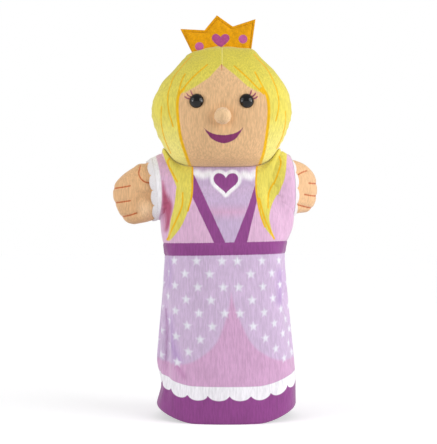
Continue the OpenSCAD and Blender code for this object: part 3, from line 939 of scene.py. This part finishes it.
def make_head():
    t = stations(head_at, 0, 10, 0.85)
    turn = turns(head_at, 5.0, -np.pi / 2, FRONT, 0.9)[:, :-1]
    p = head_at(t, turn)
    x, y, z = np.moveaxis(p, -1, 0)
    in_front = y < 0
    from_seam = np.abs(y)
    moved = -HEAD_SEAM * hump(from_seam, 1.4) * step_up(z, 214, 218)
    moved += PUCKER * np.cos(z * 0.9 + x * 0.5) * hump(from_seam - 2.5, 3.0) * step_up(z, 216, 222)
    moved -= DART_DENT * hump(x + 0.3, 1.1) * step_up(z, 297, 303) * in_front
    for side in LABEL:
        ring = np.hypot(x - side * EYE_SPOT[0], z - EYE_SPOT[1])
        moved += EYE_RIM * hump(ring - 8.2, 1.8) * in_front
    ring = np.hypot(x, z - NOSE_Z)
    moved -= NOSE_DENT * hump(ring - 8.0, 2.2) * in_front
    flatter = sum(depth * hump(z - height, tall) for height, tall, depth in FLATTER)
    moved -= flatter * np.maximum(-np.cos(turn), 0) ** 2
    moved += 0.6 * ripple(x + y, z) * step_up(z, 216, 230) * (1 - step_up(z, 305, 314))
    inks = head_inks(p)
    p = pushed(p, moved)
    p[..., 2] += sum(rise * hump(x - place, wide) for place, wide, rise in UNEVEN) * step_up(z, 300, 310)
    obj = grid_object("head_cover", p, inks=inks, cap=True)
    set_materials(obj, velour("head_velour", HAIR, HEAD_INKS, fade=0.13, sheen=0.2))
    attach(obj, "head")
    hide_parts("face_panel", "hair_back_panel")


make_head()

# Loose fibre inside the head: its middle, share of the head, depth of the hollows behind the eyes
FILL_MIDDLE = np.array([0, 0, 262.0])
FILL_SHARE = 0.9
EYE_HOLLOW = 7
fibre = velour("polyester_fill", (246, 244, 240), nap=(500, 500, 500), fade=0.05)


def make_fill():
    t = np.linspace(0, 10, 70)[:, None]
    turn = np.linspace(0, ROUND, 110, endpoint=False)[None, :]
    p = FILL_MIDDLE + (head_at(t, turn) - FILL_MIDDLE) * FILL_SHARE
    for side in LABEL:
        ring = np.hypot(p[..., 0] - side * EYE_SPOT[0], p[..., 2] - EYE_SPOT[1])
        p[..., 1] += EYE_HOLLOW * hump(ring, 8) * (p[..., 1] < 0)
    p = pushed(p, 0.5 * np.sin(9 * turn + p[..., 2] / 4) * np.sin(p[..., 2] / 5))
    obj = grid_object("head_fill", p, cap=True)
    set_materials(obj, fibre)
    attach(obj, "head")
    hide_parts("head_stuffing")
    return obj


head_fill = make_fill()


# Gathered cloth ball of the nose: shift to the right, how far its middle stands out
NOSE_SHIFT = 0.8
NOSE_OUT = 3.9


def make_nose(name, node, radius, material):
    fine = np.linspace(0, 10, 4000)
    t = fine[np.argmin(np.abs(smooth(HEAD, fine, 0) - NOSE_Z))]
    right = np.array([1.0, 0, 0])
    spot = head_at(t, FRONT) + NOSE_SHIFT * right
    rise = head_at(t + 0.02, FRONT) - head_at(t - 0.02, FRONT)
    up = rise / np.linalg.norm(rise)
    out = np.cross(right, up)
    theta = np.linspace(0.02, np.radians(128), 40)[::-1][:, None]
    phi = np.linspace(0, ROUND, 96, endpoint=False)[None, :]
    gather = step_up(theta, 0.9, 1.9) * (0.03 * np.cos(11 * phi) + 0.02 * np.cos(5 * phi + 1))
    dimple = 1 - 0.06 * hump(theta, 0.35)
    r = radius * (1 + gather) * dimple
    reach = (r * np.sin(theta))[..., None]
    p = spot + out * NOSE_OUT + reach * (np.cos(phi)[..., None] * right + np.sin(phi)[..., None] * up)
    p = p + (r * np.cos(theta))[..., None] * out
    obj = grid_object(name, p, cap=True)
    set_materials(obj, material)
    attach(obj, "head")
    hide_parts(node)


nose_cloth = velour("nose_velour", (226, 190, 147), fade=0.13)
make_nose("nose_ball", "nose_cover", 6.8, nose_cloth)
make_nose("nose_fill", "nose_stuffing", 5.4, fibre)

# Felt crown: outline points in its own frame, which leans
CROWN_LEAN = np.radians(7.5)
CROWN_Z = 313.6
CROWN_FOOT = [(-25.5, 0), (25.5, 0)]
CROWN_TOP = [(-32.5, 22.9), (-12.2, 19.2), (0, 30.5), (12.2, 19.2), (32.5, 22.9)]
CROWN_HEART = (-0.7, 321.4, 15.2, 12.4)
CROWN_DOTS = [(-19, 316.8), (18.4, 323.2)]
DOT_RADIUS = 3.7
# Distance of the stitches from the felt's edge, and how far the crown's foot sinks into the hair
STITCH_IN = 2.1
FOOT_SINK = 1.2
# Half thickness of the felt at its edge, depth of the stitches, cells on each straight piece, rows
FELT_EDGE = 1.5
STITCH_DENT = 0.45
CROWN_CELLS = 26
CROWN_ROWS = 34
CROWN_INKS = [
    ("ink_stitch", (204, 136, 8), 0.3),
    ("ink_heart", (174, 80, 142), 0.3),
    ("ink_dot", (192, 98, 162), 0.3),
]


def leaned(p):
    p = np.asarray(p, float)
    c, s = np.cos(CROWN_LEAN), np.sin(CROWN_LEAN)
    return np.stack([p[..., 0] * c - p[..., 1] * s, CROWN_Z + p[..., 0] * s + p[..., 1] * c], -1)


def along(points, cells):
    """Points along straight pieces, with a given count of cells on each."""
    made = [points[0]]
    for a, b in zip(points, points[1:]):
        made += [a + (b - a) * k / cells for k in range(1, cells + 1)]
    return np.array(made)


def head_top(x):
    """Height of the head's top seam at a distance from the middle."""
    upper = np.linspace(2, 10, 1500)[500:]
    return np.interp(-np.abs(x), -smooth(HEAD, upper, 1), smooth(HEAD, upper, 0))


def make_crown(name, node, side):
    """One felt layer, puffed inside its stitch line; side is -1 for the front."""
    top = along(leaned(CROWN_TOP), CROWN_CELLS)
    foot = along(leaned(CROWN_FOOT), 4 * CROWN_CELLS)
    foot[:, 1] = np.maximum(head_top(foot[:, 0]) - FOOT_SINK, 300)
    h = np.linspace(0, 1, CROWN_ROWS)[:, None, None]
    flat = foot[None] * (1 - h) + top[None] * h
    q = flat.reshape(-1, 2)
    rim = np.vstack([foot[:1] - [0, 6], leaned(CROWN_TOP), foot[-1:] - [0, 6]])
    d = to_line(q, rim).reshape(flat.shape[:2])
    puff = FELT_EDGE + step_up(d, 2.0, 6.0) - STITCH_DENT * hump(d - STITCH_IN, 0.5)
    puff = puff + 0.12 * np.sin(flat[..., 0] * 0.9 + flat[..., 1] * 0.6)
    outer = together(flat[..., 0], side * puff, flat[..., 1])
    inner = together(flat[..., 0], side * 0.1, flat[..., 1])
    rows, cols = flat.shape[:2]
    count = rows * cols
    faces = grid_faces(rows, cols, False, side > 0).tolist()
    faces += (grid_faces(rows, cols, False, side < 0) + count).tolist()
    index = np.arange(count).reshape(rows, cols)
    edge = [*index[0], *index[1:, -1], *index[-1, -2::-1], *index[-2:0:-1, 0]]
    for a, b in zip(edge, edge[1:] + edge[:1]):
        faces.append([a, a + count, b + count, b] if side < 0 else [b, b + count, a + count, a])
    inks = {"ink_stitch": np.abs(d.ravel() - STITCH_IN) - 0.35}
    inks["ink_heart"] = inks["ink_dot"] = np.full(count, FAR)
    if side < 0:
        inks["ink_heart"] = to_region(q, heart(*CROWN_HEART))
        dots = [np.hypot(*(q - dot).T) for dot in CROWN_DOTS]
        inks["ink_dot"] = np.minimum(*dots) - DOT_RADIUS
    inks = {ink: np.concatenate([v, np.full(count, FAR)]) for ink, v in inks.items()}
    obj = mesh_object(name, np.concatenate([outer.reshape(-1, 3), inner.reshape(-1, 3)]), faces, inks)
    set_materials(obj, felt)
    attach(obj, "head")
    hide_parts(node)


felt = velour("crown_felt", (228, 160, 8), CROWN_INKS, nap=FELTED, fade=0.12, sheen=0.03)
make_crown("crown_front_felt", "crown_front", -1)
make_crown("crown_back_felt", "crown_back", 1)

# Arms
HAND_LINES = {
    -1: [
        [(-94.5, 195.2), (-86, 196.4), (-79.5, 197.6)], [(-93, 182.6), (-86, 183.6), (-79.5, 184.6)],
        [(-87, 170.3), (-80, 171.8), (-73.6, 173.2)],
    ],
    1: [
        [(65.5, 207.2), (69, 209.2), (72.9, 210.6)], [(74.8, 199.8), (78, 199.5), (82.5, 199.4)],
        [(71.1, 189.9), (76, 189), (82.5, 188.4)], [(63.7, 181.3), (70, 179.5), (77.5, 177.8)],
    ],
}
# Thumb, fold and heel of the left palm; a painted highlight lightens the heel
THUMB = [(-70.8, 215.3), (-72.1, 207.8), (-67.8, 201.5), (-58.5, 199.2)]
PALM_FOLD = [(-64.5, 189), (-70.5, 188.5), (-74.6, 183.5), (-73.2, 175)]
PALM_HEEL = (-66, 176.5)
# Sleeve station at which each mitten is sewn in, and the share of the gap there that it gives up
SEAM_AT = {-1: 2.6, 1: 2.45}
SEAM_PULL = 0.93
# Painted highlight on the heel of the left palm, and printed finger lines
HAND_INKS = [("ink_heel_highlight", (246, 208, 166), 7), ("ink_finger", (194, 102, 58), 0.4)]
hand_cloth = velour("hand_velour", (225, 180, 134), HAND_INKS, fade=0.13)
# Dents and rise of a mitten's cloth
FINGER_DENT = 0.7
THUMB_DENT = 0.8
PALM_DENT = 2.8
EDGE_DENT = 0.6
HEEL_RISE = 1.4


def make_hand(side, name):
    form = partial(mitten_at, side=side)
    t = stations(form, 0, 8, 0.7)
    turn = turns(form, 3.0, 0, ROUND, 0.8)[:, :-1]
    p = form(t, turn)
    q = front_plane(p)
    in_front = ((np.sin(turn) < 0) * np.ones_like(t)).ravel()
    lines = to_curves(q, HAND_LINES[side])
    moved = -FINGER_DENT * hump(lines, 1.5)
    heel = np.full(len(q), FAR)
    if side < 0:
        thumb = np.where(in_front > 0, to_line(q, curve(THUMB)), FAR)
        lines = np.minimum(lines, thumb)
        fold = to_line(q, curve(PALM_FOLD))
        heel = np.hypot(*(q - PALM_HEEL).T)
        moved -= THUMB_DENT * hump(thumb, 1.8)
        moved += (HEEL_RISE * hump(heel, 7) - PALM_DENT * hump(fold, 4.4)) * in_front
    depth = np.abs(smooth(MITTEN, t, 3) * bulge(np.sin(turn)))
    moved = moved.reshape(depth.shape) - EDGE_DENT * hump(depth, 1.0)
    p = pushed(p, side * moved)
    sewn = sleeve_at(np.full_like(t, SEAM_AT[side]), turn, side)
    out = smooth(MITTEN, t, 0) - smooth(SLEEVE, SEAM_AT[side], 0)
    p = p + SEAM_PULL * hump(out, 1.5)[..., None] * (sewn - p)
    # Printed finger lines, and a painted highlight round the palm's heel
    inks = {"ink_finger": lines - 0.6, "ink_heel_highlight": heel - 5}
    obj = grid_object(name, p, flip=side < 0, inks=inks, cap=True)
    set_materials(obj, hand_cloth)
    label = LABEL[side]
    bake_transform(obj)
    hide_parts(label + "_hand_front", label + "_hand_back")


# The sleeves carry on the painted shade of the armhole fold
SLEEVE_INKS = [FOLD_SHADE_INK, *LOCK_INKS, ("ink_cuff", WHITE, 0.9)]
sleeve_cloth = velour("sleeve_velour", PINK, SLEEVE_INKS, sheen=0.6)
lace_cloth = velour("lace_cloth", (232, 228, 231), nap=(1100, 1100, 1100), fade=0.05)
# Where a sleeve's cloth turns white, as a distance out
WHITE_FROM = {-1: 4.0, 1: 12.0}
# Lace lobes: count, roundness, and where the lace starts and its valleys and lobes end, in sleeve stations
LOBES = 10
LOBE_POWER = 0.8
LACE_START = 2.3
LACE_ENDS = {-1: (2.75, 4.2), 1: (2.6, 3.5)}
SLEEVE_END = {-1: 2.71, 1: 2.56}
# Slopes passed to bend for a sleeve's halves, outward and to their front and back
SLEEVE_SLOPE = (0.5, 0.2)


def make_sleeve(side, name):
    form = partial(sleeve_at, side=side)
    t = stations(form, 0, SLEEVE_END[side], 0.8)
    turn = turns(form, 3.0, 0, ROUND, 0.9)[:, :-1]
    p = form(t, turn)
    out = smooth(SLEEVE, t, 0) * np.ones_like(turn)
    pucker = 0.35 * np.cos(turn * 26) * hump(out + 1, 3.5)
    p = pushed(p, side * pucker)
    # Painted shade of the armhole fold, carried onto the sleeve
    fold = to_region(front_plane(p), curve(ARM_FOLD_SHADE, closed=True))
    inks = {**lock_inks(p), **front_only(p, {"ink_fold_shade": fold}), "ink_cuff": WHITE_FROM[side] - out}
    obj = grid_object(name, p, flip=side < 0, inks=inks)
    set_materials(obj, sleeve_cloth, backing)
    thicken(obj, THIN_CLOTH)
    label = LABEL[side]
    made = []
    for way, half in ((-1, "_front"), (1, "_back")):
        piece = part_of(obj, name + half, [((0, 0, 0), (0, -way, 0))])
        slope = (side * SLEEVE_SLOPE[0], way * SLEEVE_SLOPE[1], 0)
        bend(piece, slope)
        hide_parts(label + "_sleeve")
        made.append(piece)
    bpy.data.objects.remove(obj)
    return made


def make_lace(side, name):
    form = partial(sleeve_at, side=side)
    turn = turns(form, 3.0, 0, ROUND, 0.45)[:, :-1]
    run = np.linspace(0, 1, turn.shape[1], endpoint=False)[None, :]
    lobe = np.maximum(1 - (2 * ((run * LOBES + 0.5) % 1) - 1) ** 2, 0) ** LOBE_POWER
    valley, tip = LACE_ENDS[side]
    share = np.linspace(0, 1, 22)[:, None]
    t = LACE_START + (valley - LACE_START + (tip - valley) * lobe) * share
    lift = 0.45 + (0.2 * np.cos(run * LOBES * ROUND) - 0.5) * share
    p = pushed(form(t, turn), side * lift)
    obj = grid_object(name, p, flip=side < 0)
    set_materials(obj, lace_cloth, lace_cloth)
    thicken(obj, LACE_CLOTH)
    label = LABEL[side]
    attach(obj, label + "_shoulder")
    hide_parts(label + "_cuff")
    return obj


for side, label in LABEL.items():
    make_sleeve(side, label + "_sleeve")
    make_lace(side, label + "_lace_cuff")
    make_hand(side, label + "_mitten")


# Finger tube inside the head: radius, height
TUBE = np.array([(12.8, 198), (12.8, 240), (12.8, 279), (12.2, 281), (9, 282), (1.5, 282)])


def make_tube():
    run = run_length(TUBE)
    fine = np.linspace(0, run[-1], 90)
    r, z = (np.interp(fine, run, column)[:, None] for column in TUBE.T)
    turn = np.linspace(0, ROUND, 72, endpoint=False)[None, :]
    r = r + 0.12 * np.sin(turn * 9 + z / 6) * step_up(z, 214, 222) * step_up(r, 4, 10)
    p = together(r * np.cos(turn), r * np.sin(turn), z)
    obj = grid_object("finger_tube_cloth", p, cap=True)
    weave = velour("lining_weave", (228, 202, 166), nap=(1500, 1500, 1500), fade=0.08)
    set_materials(obj, weave, weave)
    thicken(obj, TUBE_CLOTH)
    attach(obj, "head")
    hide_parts("finger_tube")
    return obj


tube = make_tube()

# Carried-over solids
eye_plastic = plastic("eye_plastic", (16, 14, 15), 0.12, 0.35)
washer_plastic = plastic("washer_plastic", (238, 238, 234), 0.5)
for label in LABEL.values():
    set_materials(nodes[label + "_eye"], eye_plastic)
    set_materials(nodes[label + "_eye_washer"], washer_plastic)
set_materials(nodes["crown_wadding"], fibre)

# Floor, background and light
WORLD_LIGHT = 0.46
FLOOR_GLOW = 0.42
FLOOR = 4000
PLAIN = (1, 1, 1, 1)
scene.world = bpy.data.worlds.new("world")
w = Nodes(scene.world)
w.tree.nodes.clear()
ray = w.add("LightPath").outputs
ambient = w.add("Background", {"Color": PLAIN, "Strength": WORLD_LIGHT})
shown = w.add("Background", {"Color": PLAIN, "Strength": 1.0})
seen = w.math("MAXIMUM", ray["Is Camera Ray"], ray["Is Transmission Ray"])
w.add("OutputWorld", {0: w.mix_shaders(seen, ambient, shown).outputs[0]})

corners = [(-FLOOR, -FLOOR, 0), (FLOOR, -FLOOR, 0), (FLOOR, FLOOR, 0), (-FLOOR, FLOOR, 0)]
floor = mesh_object("floor", corners, [(0, 1, 2, 3)])
f = Nodes(bpy.data.materials.new("floor"))
paint = f.add("BsdfDiffuse", {"Color": (0.8, 0.8, 0.81, 1)})
glow = f.add("Emission", {"Color": PLAIN, "Strength": FLOOR_GLOW})
dark = f.add("Emission", {"Color": (0, 0, 0, 1), "Strength": 0.0})
ray = f.add("LightPath").outputs
seen = f.math("MAXIMUM", ray["Is Camera Ray"], ray["Is Glossy Ray"])
seen = f.math("MAXIMUM", seen, ray["Is Transmission Ray"])
pick = f.mix_shaders(seen, dark, glow)
both = f.add("AddShader", {0: paint.outputs[0], 1: pick.outputs[0]})
below = f.add("NewGeometry").outputs["Backfacing"]
sided = f.mix_shaders(below, both, f.add("BsdfTransparent"))
f.feed(f.tree.nodes["Material Output"], {"Surface": sided.outputs[0]})
set_materials(floor, f.owner)


def lamp(name, kind, place, target, energy, size):
    light = bpy.data.lights.new(name, kind)
    light.energy = energy
    if kind == "SUN":
        light.angle = size
    else:
        light.shape = "DISK"
        light.size = size
    obj = put(name, light)
    obj.location = place
    aim = np.array(target) - np.array(place)
    flat = np.hypot(aim[0], aim[1])
    obj.rotation_euler = (np.arctan2(flat, -aim[2]), 0, np.arctan2(-aim[0], aim[1]))


BODY = (0, 0, 0.15)
FACE = (0, 0, 0.265)
SOFT = np.radians(50)
lamp("key", "SUN", (1.0, -0.46, 0.45), BODY, 2.0, SOFT)
lamp("fill", "SUN", (-1.0, -0.34, 0.45), BODY, 1.0, SOFT)
lamp("glint_left", "AREA", (-0.72, -0.32, 0.3), FACE, 1.0, 0.2)
lamp("glint_right", "AREA", (0.78, -0.2, 0.29), FACE, 1.2, 0.2)
